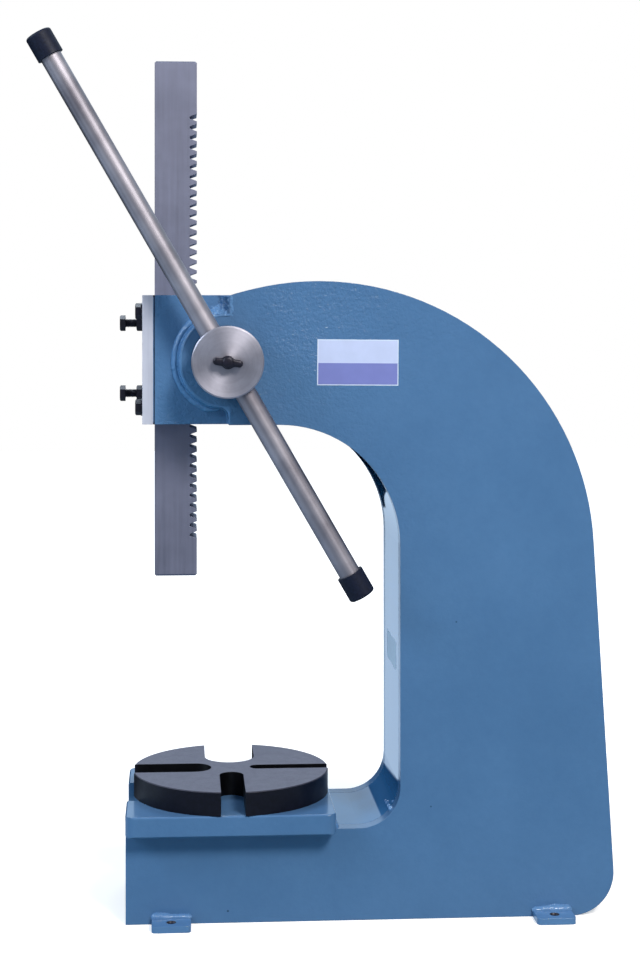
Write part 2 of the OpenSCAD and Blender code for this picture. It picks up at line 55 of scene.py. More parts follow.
def middle(node):
    low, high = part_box(node)
    return (low + high) / 2


PLATE_LOW, PLATE_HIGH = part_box("side_plate_near")
HEAD_LOW, HEAD_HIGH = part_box("head_block")
BED_LOW, BED_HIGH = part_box("bed_plate")
RAM_LOW, RAM_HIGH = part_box("ram")
STRIP_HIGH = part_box("throat_strip")[1]
BASE_TOP = BED_LOW.z
PLATE_FACE = -PLATE_LOW.y       # how far each side plate's outer and inner faces are from Y = 0
PLATE_INNER = -PLATE_HIGH.y
SHAFT = middle("pinion")
RAM_X = middle("ram").x
NOSE_R = 43.2 * MM              # the side plates' round nose
PLATE_FRONT = SHAFT.x + 2 * MM  # the side plates' straight front edge
STRIP_T = 8 * MM
WEB_X = STRIP_HIGH.x - STRIP_T  # the throat strip's upright face
TOE_R = 38 * MM                 # the throat's lower corner, and the height of its centre
TOE_Z = 123 * MM
PIVOT = middle("table_pivot")
TABLE_R = 91 * MM               # where the table's colour changes from top and walls to rim
LEVER_TILT = math.radians(30)
LUG_HOLE_Y = 84 * MM
LUG_HOLE_R = 4.5 * MM


# ---------- colour and node helpers ----------

def srgb(r, g, b):
    """A linear colour with alpha, from the 0 to 255 values of a picture."""
    def linear(v):
        v /= 255
        return v / 12.92 if v <= 0.04045 else ((v + 0.055) / 1.055) ** 2.4
    return (linear(r), linear(g), linear(b), 1.0)


def scaled(colour, share):
    """The same colour, darker or lighter by a share."""
    return [c * share for c in colour[:3]] + [1]


def feed(tree, socket, value):
    """Links a socket to another node's output, or sets it to a constant."""
    if isinstance(value, bpy.types.NodeSocket):
        tree.links.new(value, socket)
    else:
        socket.default_value = value


def math_node(tree, kind, a, b):
    """A Math node of that kind; a and b are sockets or numbers."""
    made = tree.nodes.new("ShaderNodeMath")
    made.operation = kind
    for socket, value in zip(made.inputs, (a, b)):
        feed(tree, socket, value)
    return made.outputs[0]


def vector_node(tree, kind, a, b=None):
    """A Vector Math node of that kind: a is a socket, b the constant of the kinds that need one."""
    made = tree.nodes.new("ShaderNodeVectorMath")
    made.operation = kind
    tree.links.new(a, made.inputs[0])
    if b is not None:
        made.inputs[1].default_value = b
    return made.outputs["Value" if kind in ("LENGTH", "DOT_PRODUCT") else "Vector"]


class Paintbox:
    """A Principled material and the few texture nodes that the finishes here are built from."""

    def __init__(self, name, **sockets):
        self.mat = bpy.data.materials.new(name)
        self.mat.use_nodes = True
        self.tree = self.mat.node_tree
        self.shader = self.tree.nodes["Principled BSDF"]
        self.coords = self.tree.nodes.new("ShaderNodeTexCoord")
        self.normal = None
        for key, value in sockets.items():
            self.shader.inputs[key.replace("_", " ")].default_value = value

    def node(self, kind, **inputs):
        made = self.tree.nodes.new(kind)
        for key, value in inputs.items():
            feed(self.tree, made.inputs[key.replace("_", " ")], value)
        return made

    def place(self, stretch=(1, 1, 1), turn=(0, 0, 0)):
        """Object coordinates, turned and then stretched."""
        turned = self.node("ShaderNodeMapping", Vector=self.coords.outputs["Object"],
                           Rotation=turn)
        return self.node("ShaderNodeMapping", Vector=turned.outputs[0], Scale=stretch).outputs[0]

    def noise(self, scale, detail=3.0, roughness=0.5, **where):
        tex = self.node("ShaderNodeTexNoise", Vector=self.place(**where), Scale=scale,
                        Detail=detail, Roughness=roughness)
        return tex.outputs["Fac"]

    def spots(self, scale):
        tex = self.node("ShaderNodeTexVoronoi", Vector=self.place(), Scale=scale)
        return tex.outputs["Distance"]

    def ramp(self, fac, *stops):
        """A colour ramp; each stop is (position, colour)."""
        made = self.node("ShaderNodeValToRGB", Fac=fac)
        cells = made.color_ramp.elements
        while len(cells) < len(stops):
            cells.new(0.5)
        for cell, (position, colour) in zip(cells, stops):
            cell.position = position
            cell.color = colour
        return made.outputs["Color"]

    def times(self, a, b):
        return math_node(self.tree, "MULTIPLY", a, b)

    def facing(self, axis, start=0.6, end=0.9):
        """1 where the surface faces either way along an axis, 0 elsewhere."""
        parts = self.node("ShaderNodeSeparateXYZ", Vector=self.coords.outputs["Normal"])
        size = math_node(self.tree, "ABSOLUTE", parts.outputs[axis], 0.0)
        return self.spread(size, 0, 1, start, end)

    def distance(self, centre, axes=(1, 1, 1)):
        """How far a point is from a centre, or from a line through it where an axis is 0."""
        moved = vector_node(self.tree, "SUBTRACT", self.coords.outputs["Object"], centre)
        return vector_node(self.tree, "LENGTH", vector_node(self.tree, "MULTIPLY", moved, axes))

    def spread(self, fac, low, high, start=0.3, end=0.7):
        """A number from low to high as fac goes from start to end."""
        made = self.node("ShaderNodeMapRange", Value=fac)
        made.inputs["From Min"].default_value = start
        made.inputs["From Max"].default_value = end
        made.inputs["To Min"].default_value = low
        made.inputs["To Max"].default_value = high
        return made.outputs["Result"]

    def blend(self, fac, a, b):
        """Colour a where fac is 0, and b where it is 1."""
        made = self.tree.nodes.new("ShaderNodeMix")
        made.data_type = "RGBA"
        for k, value in ((0, fac), (6, a), (7, b)):
            feed(self.tree, made.inputs[k], value)
        return made.outputs[2]

    def bump(self, height, depth):
        """Adds relief of that depth in metres to what is there already."""
        made = self.node("ShaderNodeBump", Height=height, Distance=depth, Strength=1.0)
        if self.normal:
            self.tree.links.new(self.normal, made.inputs["Normal"])
        self.normal = made.outputs["Normal"]
        self.tree.links.new(self.normal, self.shader.inputs["Normal"])

    def round_edges(self, radius):
        """Softens the light on sharp edges, as a brushed or painted edge does."""
        made = self.tree.nodes.new("ShaderNodeBevel")
        made.samples = 6
        made.inputs["Radius"].default_value = radius
        first = [n for n in self.tree.nodes
                 if n.type == "BUMP" and not n.inputs["Normal"].is_linked]
        target = first[0].inputs["Normal"] if first else self.shader.inputs["Normal"]
        self.tree.links.new(made.outputs["Normal"], target)

    def to(self, name, value):
        """Feeds one of the shader's inputs; a constant is set on the input itself."""
        feed(self.tree, self.shader.inputs[name], value)


# ---------- materials ----------

def machine_paint(name="machine_paint", shade=1.0, gloss=0.14, lumps=0.0,
                  tones=((76, 111, 149), (86, 121, 159))):
    """Blue enamel with faint clouds and a few specks. Its shade scales both tones: the welds and
    foot lugs use it for lighter copies, as painted light. With lumps it is paint over a weld. Else
    the glossy kind has orange peel, coarsest at the head, and the duller kinds are smooth."""
    box = Paintbox(name, IOR=1.5)
    deep, light = (scaled(srgb(*tone), shade) for tone in tones)
    clouds = box.ramp(box.noise(7, 4, 0.6), (0.32, deep), (0.7, light))
    mottle = box.noise(160, 3, 0.6)
    tone = box.blend(box.spread(mottle, 0, 0.2), clouds, scaled(deep, 0.88))
    specks = box.spread(box.spots(17), 1, 0, 0.012, 0.022)
    tone = box.blend(specks, tone, scaled(deep, 0.35))
    box.to("Base Color", tone)
    box.to("Roughness", box.spread(box.noise(30, 3), gloss * 0.9, gloss * 1.2))
    if lumps:
        box.bump(box.noise(260, 4, 0.6), lumps)
        box.bump(box.noise(620, 2, 0.6), lumps * 0.6)
    elif gloss > 0.1:
        sides = box.facing("Y")
        near_head = box.spread(box.distance(SHAFT), 1.0, 0.22, 0.10, 0.28)
        patches = box.spread(box.noise(9, 2), 0.35, 1.0, 0.35, 0.65)
        peel = box.times(box.times(patches, near_head), sides)
        box.bump(box.times(box.noise(24, 2), sides), 0.35 * MM)
        box.bump(box.times(box.noise(300, 3, 0.6), peel), 1.3 * MM)
        box.to("Specular IOR Level", 0.34)
    box.round_edges(0.9 * MM)
    return box.mat


def brushed(name, dark, light, along, roughness, turn=(0, 0, 0), fine=600, scratch=0.006, detail=3):
    """Bare steel with fine lines. along stretches the lines' noise, after turn has turned it, and
    scratch is their depth in millimetres: with 0 the steel is smooth."""
    box = Paintbox(name, Metallic=1.0, Roughness=roughness)
    lines = box.noise(fine, detail, 0.6, stretch=along, turn=turn)
    clouds = box.noise(22, 3, 0.6)
    tone = box.ramp(box.blend(0.5, clouds, lines), (0.35, dark), (0.65, light))
    box.to("Base Color", tone)
    box.to("Roughness", box.spread(lines, roughness - 0.05, roughness + 0.05))
    if scratch:
        box.bump(lines, scratch * MM)
        box.round_edges(0.5 * MM)
    return box.mat


def turned_steel():
    """Hub and shaft: faced in a lathe, so the lines run in rings round the Y axis. Their round
    sides are painted dark grey, as painted shade.
    """
    box = Paintbox("turned_steel", Metallic=1.0, Anisotropic=0.6)
    centred = box.node("ShaderNodeMapping", Vector=box.coords.outputs["Object"],
                       Location=(-SHAFT.x, 0, -SHAFT.z)).outputs[0]
    parts = box.node("ShaderNodeSeparateXYZ", Vector=centred)
    outward = box.node("ShaderNodeCombineXYZ", X=parts.outputs["X"], Z=parts.outputs["Z"])
    box.tree.links.new(outward.outputs[0], box.shader.inputs["Tangent"])
    ring_place = box.node("ShaderNodeCombineXYZ", X=box.distance(SHAFT, (1, 0, 1)),
                          Y=parts.outputs["Y"])
    rings = box.node("ShaderNodeTexNoise", Vector=ring_place.outputs[0], Scale=1400.0,
                     Detail=2.0, Roughness=0.6).outputs["Fac"]
    clouds = box.noise(38, 4, 0.6)
    tone = box.ramp(box.blend(0.3, clouds, rings),
                    (0.35, srgb(156, 153, 163)), (0.65, srgb(183, 180, 191)))
    dings = box.spread(box.spots(85), 1, 0, 0.02, 0.05)
    tone = box.blend(dings, tone, srgb(120, 116, 122))
    # Faces along Y get the turned tone; the round sides get a dark grey, as painted shade.
    face = box.facing("Y", 0.3, 0.7)
    box.to("Base Color", box.blend(face, srgb(96, 98, 110), tone))
    box.to("Roughness", box.times(box.spread(rings, 0.45, 0.55), box.spread(face, 0.5, 1, 0, 1)))
    box.bump(rings, 0.004 * MM)
    box.round_edges(0.6 * MM)
    return box.mat


def rubber():
    box = Paintbox("moulded_rubber", IOR=1.4)
    box.to("Specular IOR Level", 0.28)
    grain = box.noise(420, 3, 0.6)
    box.to("Base Color", box.ramp(grain, (0.3, srgb(15, 18, 34)), (0.75, srgb(26, 30, 50))))
    box.to("Roughness", box.spread(box.noise(60, 3), 0.45, 0.6))
    box.bump(grain, 0.005 * MM)
    box.round_edges(0.5 * MM)
    return box.mat


def black_oxide():
    box = Paintbox("black_oxide", Metallic=0.35, Roughness=0.36)
    grain = box.noise(260, 4, 0.6)
    box.to("Base Color", box.ramp(grain, (0.3, srgb(15, 12, 24)), (0.75, srgb(32, 27, 44))))
    box.to("Roughness", box.spread(box.noise(90, 3), 0.3, 0.45))
    box.bump(grain, 0.01 * MM)
    box.round_edges(0.3 * MM)
    return box.mat


def table_steel():
    """Blackened plate: the top was ground and is lighter, partly as painted sheen; the rim was
    turned; the slots' walls are painted near black, as painted shade.
    """
    box = Paintbox("blackened_plate", IOR=1.45)
    grain = box.noise(240, 5, 0.65)
    fine = box.noise(700, 2, 0.6)
    rim = box.ramp(grain, (0.3, srgb(5, 5, 15)), (0.72, srgb(14, 14, 28)))
    # The slots' walls: near black and darker than the rim, as painted shade in the slots.
    wall = box.ramp(grain, (0.3, srgb(2, 2, 4)), (0.72, srgb(5, 5, 9)))
    # The ground top: lighter grey, partly its ground finish and partly painted sheen.
    top = box.ramp(box.blend(0.5, grain, fine), (0.3, srgb(77, 76, 90)), (0.7, srgb(100, 97, 112)))
    outside = box.spread(box.distance(PIVOT, (1, 1, 0)), 0, 1,
                         TABLE_R - 0.5 * MM, TABLE_R + 0.5 * MM)
    up = box.facing("Z")
    side = box.blend(outside, wall, rim)
    box.to("Base Color", box.blend(up, side, top))
    box.to("Roughness", box.spread(box.noise(70, 3), 0.36, 0.46))
    box.to("Specular IOR Level", 0.25)
    box.bump(grain, 0.05 * MM)
    box.bump(fine, 0.02 * MM)
    box.round_edges(0.5 * MM)
    return box.mat


def bronze():
    box = Paintbox("bearing_bronze", Metallic=1.0, Roughness=0.35)
    grain = box.noise(120, 3, 0.6)
    box.to("Base Color", box.ramp(grain, (0.3, srgb(150, 112, 66)), (0.7, srgb(188, 150, 96))))
    box.bump(grain, 0.03 * MM)
    return box.mat


def printed(name, colour):
    """Plain film or foil, in one colour, with a faint unevenness."""
    box = Paintbox(name, Roughness=0.4)
    box.to("Base Color", box.ramp(box.noise(90, 3), (0.3, scaled(colour, 0.94)), (0.7, colour)))
    box.bump(box.noise(240, 2), 0.02 * MM)
    return box.mat


# ---------- mesh helpers ----------

def piece(name, verts, faces, mats, body, slot, smooth=True, face_mats=None):
    """A mesh that rides on a body, in the row frame. mats is one material, or a list that
    face_mats picks from for each face."""
    mesh = bpy.data.meshes.new(name)
    mesh.from_pydata([tuple(v) for v in verts], [], faces)
    for mat in (mats if isinstance(mats, (list, tuple)) else [mats]):
        mesh.materials.append(mat)
    if face_mats:
        mesh.polygons.foreach_set("material_index", face_mats)
    mesh.polygons.foreach_set("use_smooth", [smooth] * len(mesh.polygons))
    mesh.validate()
    mesh.update()
    made = bpy.data.objects.new(name, mesh)
    bpy.context.scene.collection.objects.link(made)
    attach(made, body)
    return made


def sharpen(made, degrees=32):
    """Marks the edges that turn by more than the angle as sharp, so flat faces stay crisp."""
    mesh = made.data
    limit = math.radians(degrees)
    faces_of = {}
    for face in mesh.polygons:
        for key in face.edge_keys:
            faces_of.setdefault(key, []).append(face.normal)
    for edge in mesh.edges:
        normals = faces_of.get(edge.key, [])
        if len(normals) == 2 and normals[0].angle(normals[1], 0) > limit:
            edge.use_edge_sharp = True
    return made


def tube(points, ring_of):
    """A skin over rings along a path. ring_of(i, point, ahead) gives one ring's points."""
    verts, faces = [], []
    for i, point in enumerate(points):
        ahead = points[min(i + 1, len(points) - 1)] - points[max(i - 1, 0)]
        ring = ring_of(i, point, ahead.normalized())
        count = len(ring)
        verts.extend(ring)
        if i:
            low, high = (i - 1) * count, i * count
            for k in range(count):
                n = (k + 1) % count
                faces.append((low + k, low + n, high + n, high + k))
    faces.append(tuple(range(count)))
    faces.append(tuple(reversed(range((len(points) - 1) * count, len(points) * count))))
    return verts, faces


def ringed(rings):
    """Faces between rings of equal count, with both ends closed."""
    verts = [v for ring in rings for v in ring]
    count = len(rings[0])
    faces = []
    for i in range(len(rings) - 1):
        for k in range(count):
            n = (k + 1) % count
            faces.append((i * count + k, i * count + n, (i + 1) * count + n, (i + 1) * count + k))
    faces.append(tuple(reversed(range(count))))
    faces.append(tuple(range(len(verts) - count, len(verts))))
    return verts, faces


def merge(parts):
    """Several (points, faces) as one."""
    verts, faces = [], []
    for part_verts, part_faces in parts:
        start = len(verts)
        verts += part_verts
        faces += [tuple(start + k for k in face) for face in part_faces]
    return verts, faces


def lathe(profile, centre, axis, segments):
    """Turns (radius, height) points about an axis through centre. A radius of 0 closes an end."""
    axis = Vector(axis).normalized()
    side = axis.orthogonal().normalized()
    other = axis.cross(side)
    verts, faces, rings = [], [], []
    for radius, height in profile:
        base = Vector(centre) + axis * height
        if radius < 1e-9:
            rings.append([len(verts)])
            verts.append(base)
            continue
        rings.append(list(range(len(verts), len(verts) + segments)))
        for k in range(segments):
            a = 2 * math.pi * k / segments
            verts.append(base + radius * (math.cos(a) * side + math.sin(a) * other))
    for low, high in zip(rings, rings[1:]):
        for k in range(segments):
            n = (k + 1) % segments
            if len(low) == 1:
                faces.append((low[0], high[n], high[k]))
            elif len(high) == 1:
                faces.append((low[k], low[n], high[0]))
            else:
                faces.append((low[k], low[n], high[n], high[k]))
    return verts, faces


def line(a, b):
    """Points about 2.2 mm apart from a to b."""
    a, b = Vector(a), Vector(b)
    count = max(2, int((b - a).length / (2.2 * MM)))
    return [a.lerp(b, i / count) for i in range(count + 1)]


def even(points, step):
    """The same path with its points an even step apart."""
    spans = [0.0]
    for a, b in zip(points, points[1:]):
        spans.append(spans[-1] + (b - a).length)
    count = max(4, int(spans[-1] / step))
    out, k = [], 0
    for i in range(count + 1):
        s = spans[-1] * i / count
        while k < len(spans) - 2 and spans[k + 1] < s:
            k += 1
        length = max(spans[k + 1] - spans[k], 1e-9)
        out.append(points[k].lerp(points[k + 1], (s - spans[k]) / length))
    return out


def weld_bead(name, points, radius, seed, ripple=0.10, wander=0.12):
    """A painted fillet weld: a lumpy bead whose ripples follow one another along the seam."""
    rng = random.Random(seed)
    step = radius * 0.22
    sides = 10
    points = even(points, step)
    phases = [rng.uniform(0, 6.28) for _ in range(4)]
    pitch = radius * 0.55
    walk = 0.0

    def ring_of(i, point, ahead):
        nonlocal walk
        s = i * step
        walk = 0.86 * walk + rng.uniform(-1, 1) * 0.14
        swell = 1 + ripple * abs(math.sin(math.pi * s / pitch + phases[0]))
        swell += wander * (0.6 * math.sin(s / (radius * 2.3) + phases[1])
                           + 0.4 * math.sin(s / (radius * 5.1) + phases[2]) + walk)
        ends = min(1.0, (i + 0.6) / 5, (len(points) - i - 0.4) / 5)
        r = radius * swell * math.sqrt(max(ends, 0.05))
        side = ahead.cross(Vector((0, 1, 0)))
        if side.length < 0.1:
            side = ahead.cross(Vector((0, 0, 1)))
        side.normalize()
        up = ahead.cross(side).normalized()
        ring = []
        for k in range(sides):
            a = 2 * math.pi * k / sides
            bulge = 1 + 0.05 * math.sin(3 * a + s / radius + phases[3])
            ring.append(point + r * bulge * (math.cos(a) * side + math.sin(a) * up))
        return ring

    verts, faces = tube(points, ring_of)
    verts = [roughen(v, Vector((0, 0.7, 0.7)), radius * 0.16, radius * 0.10) for v in verts]
    return piece(name, verts, faces, PAINT_WELD_LIT, "frame", "paint")


# ---------- finishes of the CAD nodes ----------

PAINT = machine_paint()
# The welds' paint is the frame's blue lightened by 1.3, as painted light on the welds.
PAINT_WELD_LIT = machine_paint("weld_paint_lit", 1.3, 0.13, 0.3 * MM)
# The throat strip's paint is a deeper navy than the frame's, as painted shade under the arch.
PAINT_STRIP_SHADED = machine_paint("strip_paint_shaded", 1.0, 0.02, tones=((50, 102, 148), (58, 110, 156)))
# The foot lugs' paint is the frame's blue lightened by 1.2, as painted light.
PAINT_LUG_LIT = machine_paint("lug_paint_lit", 1.2, 0.09)
HUB = turned_steel()
LEVER = brushed("ground_bar", srgb(122, 118, 126), srgb(182, 178, 186), (1, 1, 0.008), 0.56,
                turn=(0, LEVER_TILT, 0), fine=170, scratch=0, detail=1)
RAM = brushed("milled_ram", srgb(117, 119, 136), srgb(135, 137, 156), (1, 1, 0.04), 0.62, fine=260)
COVER = brushed("bare_cover", srgb(204, 206, 219), srgb(220, 222, 233), (1, 1, 0.05), 0.55,
                fine=300)
PLAIN = brushed("plain_steel", srgb(140, 140, 150), srgb(170, 170, 180), (1, 0.05, 1), 0.36)
RUBBER = rubber()
OXIDE = black_oxide()
TABLE = table_steel()
BRONZE = bronze()

FINISH = {
    "lever_shaft": HUB, "retaining_collar": HUB, "lever_bar": LEVER, "ram": RAM, "pinion": RAM,
    "cover_plate": COVER, "shaft_key": PLAIN, "table_pivot": PLAIN, "ram_gib": BRONZE,
    "bush_near": BRONZE, "bush_far": BRONZE, "lever_cap_upper": RUBBER, "lever_cap_lower": RUBBER,
    "cover_bolts": OXIDE, "cover_washers": OXIDE, "adjusting_screws": OXIDE, "lock_nuts": OXIDE,
    "wing_screw": OXIDE, "collar_screw": OXIDE, "table_plate": TABLE, "throat_strip": PAINT_STRIP_SHADED,
    "foot_lug_front_near": PAINT_LUG_LIT, "foot_lug_front_far": PAINT_LUG_LIT,
    "foot_lug_rear_near": PAINT_LUG_LIT, "foot_lug_rear_far": PAINT_LUG_LIT,
}
for node_name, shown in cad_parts.items():
    shown.data.materials.clear()
    shown.data.materials.append(FINISH.get(node_name, PAINT))


# ---------- welds ----------

def roughen(point, normal, coarse, fine):
    """Moves a point along its normal by lumps about 3 mm and 1.3 mm across."""
    lump = coarse * noise.noise(point * 330) + fine * noise.noise(point * 760)
    return point + normal * lump


def swept_weld(name, rim, toe, root, section, side):
    """A painted weld on the head block's face. Its section's points are (share, height above the
    face in millimetres): a share of 1 is on the toe path, 0 on the rim and -1 on the root, which
    lies inside the plate. Above the shaft, where the rim turns a tight corner, the groove is
    filled and the lumps are heavier."""
    verts, faces = [], []
    fill_start, fill_height, fill_front = SHAFT.z + 36 * MM, 7 * MM, SHAFT.x - 22 * MM
    for r, t, q in zip(rim, toe, root):
        fill = max(0.0, min(1.0, (r.z - fill_start) / fill_height)) * (r.x > fill_front)
        heavy = 1 + 2.6 * fill
        for share, up in section:
            place = r.lerp(t, share) if share >= 0 else r.lerp(q, -share)
            if 0 < share < 1:
                up = up + fill * (15 * (1 - share) ** 1.3 + 0.6 - up)
            place.y = side * (PLATE_INNER + up * MM)
            if 0 <= share <= 1:
                out = (t - r).normalized()
                lean = Vector((out.x, side * 0.8, out.z)).normalized()
                place = roughen(place, lean, 0.55 * MM * heavy, 0.35 * MM * heavy)
                place.z = min(place.z, HEAD_HIGH.z)
            elif share < 0 and up > 15:
                place.y += side * fill * (0.2 + abs(noise.noise(place * 420))) * 0.9 * MM
            verts.append(place)
    count = len(section)
    for i in range(len(rim) - 1):
        for k in range(count - 1):
            a, b = i * count + k, (i + 1) * count + k
            faces.append((a, a + 1, b + 1, b) if side < 0 else (a, b, b + 1, a + 1))
    faces.append(tuple(range(count)) if side > 0 else tuple(reversed(range(count))))
    last = (len(rim) - 1) * count
    faces.append(tuple(last + k for k in (range(count) if side < 0 else reversed(range(count)))))
    return piece(name, verts, faces, PAINT_WELD_LIT, "frame", "paint")


def refine(points, times):
    """More points on straight lines between the given ones."""
    out = []
    for a, b in zip(points, points[1:]):
        out += [tuple(p + (q - p) * k / times for p, q in zip(a, b)) for k in range(times)]
    return out + [points[-1]]


# From the block's face to the plate's: a low bead, a shallow groove, and a slope up to the rim
NOSE_SECTION = refine([(1.02, -0.6), (0.99, 0.9), (0.90, 2.4), (0.78, 3.5), (0.64, 4.1),
                       (0.50, 4.2), (0.40, 3.7), (0.34, 4.4), (0.28, 6.4), (0.23, 8.6),
                       (0.18, 10.8), (0.12, 12.8), (0.04, 14.4), (-0.2, 15.15), (-0.7, 15.15),
                       (-1.0, 14.6)], 3)


def nose_path(offset, fill_top, fill_low, end_z, counts):
    """The plate's front edge and round nose, moved out by an offset, from the top to the underside.
    Its two inner corners are filled to the radii given. counts are the points on the edge above,
    the upper corner, the nose, the lower corner and the edge below."""
    edge = PLATE_FRONT - offset
    radius = NOSE_R + offset

    def corner(fill, way):
        span = SHAFT.x - edge + fill
        height = math.sqrt((radius + fill) ** 2 - span ** 2)
        centre = Vector((edge - fill, 0, SHAFT.z + way * height))
        return centre, math.degrees(math.atan2(way * height, -span))

    def bow(centre, r, a0, a1, count):
        return [centre + r * Vector((math.cos(math.radians(a0 + (a1 - a0) * i / count)), 0,
                                     math.sin(math.radians(a0 + (a1 - a0) * i / count))))
                for i in range(count)]

    upper, start = corner(fill_top, 1)
    lower, end = corner(fill_low, -1)
    end %= 360
    top = Vector((edge, 0, HEAD_HIGH.z - 0.4 * MM))
    path = [top.lerp(Vector((edge, 0, upper.z)), i / counts[0]) for i in range(counts[0])]
    path += bow(upper, fill_top, 0, start - 180, counts[1])
    path += bow(Vector((SHAFT.x, 0, SHAFT.z)), radius, start, end, counts[2])
    path += bow(lower, fill_low, end - 180, 0, counts[3])
    path += [Vector((edge, 0, lower.z + (end_z - lower.z) * i / counts[4]))
             for i in range(counts[4] + 1)]
    return path


def nose_welds():
    """Fillet between each side plate's front edge, with its round nose, and the head block."""
    counts = (34, 44, 230, 16, 10)
    low_end = HEAD_LOW.z + 0.4 * MM
    rim = nose_path(0.0, 3 * MM, 9 * MM, low_end, counts)
    toe = nose_path(8.2 * MM, 6 * MM, 2.5 * MM, low_end, counts)
    root = nose_path(-2.2 * MM, 0.4 * MM, 0.4 * MM, low_end, counts)
    above = counts[0] + counts[1]
    for i in range(above):
        wander = 1.6 + 3.2 * noise.noise(root[i] * 260)
        root[i].x += max(0.0, wander) * MM * min(1, (above - i) / 30)
    steps = len(rim)
    closing = counts[3] + counts[4]
    for i in range(steps):
        left = (steps - i - closing) / 22
        if left < 1:
            share = 0.26 + 0.74 * max(0.0, left) ** 0.6
            toe[i] = rim[i].lerp(toe[i], share)
    for side, sign in SIDES:
        swept_weld("nose_weld_" + side, rim, toe, root, NOSE_SECTION, sign)


def foot_lugs():
    """Each foot lug's end, side, sign along Y, and low and high corners."""
    for end in ("front", "rear"):
        for side, sign in SIDES:
            low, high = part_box("foot_lug_%s_%s" % (end, side))
            yield end, side, sign, low, high


def lug_welds():
    """A short bead along the top of each foot lug."""
    for end, side, sign, low, high in foot_lugs():
        seam = line((low.x - 1 * MM, sign * PLATE_FACE, high.z),
                    (high.x + 1 * MM, sign * PLATE_FACE, high.z))
        weld_bead("lug_weld_%s_%s" % (end, side), seam, 3.1 * MM, 31 + len(end) * sign,
                  ripple=0.4, wander=0.4)


def bed_welds():
    """Beads that hold the bed plate: across its rear end, and under its overhang on each side."""
    across = line((BED_HIGH.x, -PLATE_FACE + 2 * MM, BASE_TOP),
                  (BED_HIGH.x, PLATE_FACE - 2 * MM, BASE_TOP))
    weld_bead("bed_end_weld", across, 3.2 * MM, 41, ripple=0.2)
    for side, sign in SIDES:
        under = line((BED_LOW.x + 4 * MM, sign * PLATE_FACE, BASE_TOP),
                     (BED_HIGH.x - 4 * MM, sign * PLATE_FACE, BASE_TOP))
        weld_bead("bed_side_weld_" + side, under, 2.6 * MM, 42 + sign)


# Drops in the throat's lower corner: degrees below the horizontal, Y and radius in millimetres
CORNER_DROPS = ((39.2, -35.8, 2.3), (37.8, -59.5, 3.0), (29.9, -51.5, 1.7), (38.7, -49.0, 2.4),
                (40.2, -26.8, 1.5))
# Drops at the bed's rear end: Z and radius in millimetres
BED_DROPS = ((99, 1.3), (95, 1.7), (92, 1.2))


def weld_spatter():
    """Drops of weld metal under the paint, in the throat's lower corner and behind the bed."""
    shapes = []

    def drop(place, out, size):
        dome = [(size * math.cos(k * math.pi / 12), size * 0.85 * math.sin(k * math.pi / 12))
                for k in range(6)]
        shapes.append(lathe(dome + [(0, size * 0.85)], place, out, 20))

    for angle, y, size in CORNER_DROPS:
        a = math.radians(angle)
        out = Vector((math.cos(a), 0, -math.sin(a)))
        place = Vector((WEB_X - TOE_R, y * MM, TOE_Z)) + out * (TOE_R + 0.3 * MM)
        drop(place, -out, size * MM)
    for z, size in BED_DROPS:
        drop(Vector((BED_HIGH.x - 0.2 * MM, -PLATE_FACE - 1 * MM, z * MM)), Vector((1, -0.6, 0)),
             size * MM)
    verts, faces = merge(shapes)
    noise.seed_set(1)  # without a seed, noise_vector differs from run to run
    verts = [v + 0.25 * MM * noise.noise_vector(v * 700) for v in verts]
    piece("weld_spatter", verts, faces, PAINT_WELD_LIT, "frame", "paint")


nose_welds()
lug_welds()
bed_welds()
weld_spatter()


# ---------- bolts, nuts and screws ----------

def hexagon(place, flats, x_face, x_back):
    """A hexagon head or nut along X, its outer corners cut by a cone as on a turned blank."""
    count = 72
    direction = -1 if x_face < x_back else 1
    circle = flats / 2 * 0.96
    slope = math.tan(math.radians(30))

    def outline(cut, x):
        ring = []
        for k in range(count):
            a = 2 * math.pi * k / count
            turn = (a + math.pi / 6) % (math.pi / 3) - math.pi / 6
            reach = flats / 2 / math.cos(turn)
            back = max(0.0, reach - circle) * slope if cut else 0
            ring.append(Vector((x - direction * back, place[0] + reach * math.sin(a + math.pi / 6),
                                place[1] + reach * math.cos(a + math.pi / 6))))
        return ring

    def disc(x):
        return [Vector((x, place[0] + circle * math.sin(2 * math.pi * k / count + math.pi / 6),
                        place[1] + circle * math.cos(2 * math.pi * k / count + math.pi / 6)))
                for k in range(count)]

    rings = [disc(x_face), outline(True, x_face), outline(False, x_back)]
    if x_face > x_back:
        rings.reverse()
    return ringed(rings)


def thread(place, radius, x0, x1, pitch=1.25 * MM, depth=0.62 * MM):
    """A screw along X with a real helical groove, and a short point at x1."""
    around, per_turn = 28, 8
    steps = int((x1 - x0) / pitch * per_turn)
    rings = []
    for i in range(steps + 1):
        x = x0 + (x1 - x0) * i / steps
        taper = min(1.0, 0.8 + 0.2 * (x1 - x) / (1.2 * MM))
        ring = []
        for k in range(around):
            a = 2 * math.pi * k / around
            phase = (x / pitch - a / (2 * math.pi)) % 1
            groove = 1 - abs(2 * phase - 1)
            r = (radius - depth * max(0.0, min(1.0, 1.35 * groove - 0.15))) * taper
            ring.append(Vector((x, place[0] + r * math.sin(a), place[1] + r * math.cos(a))))
        rings.append(ring)
    return ringed(rings)


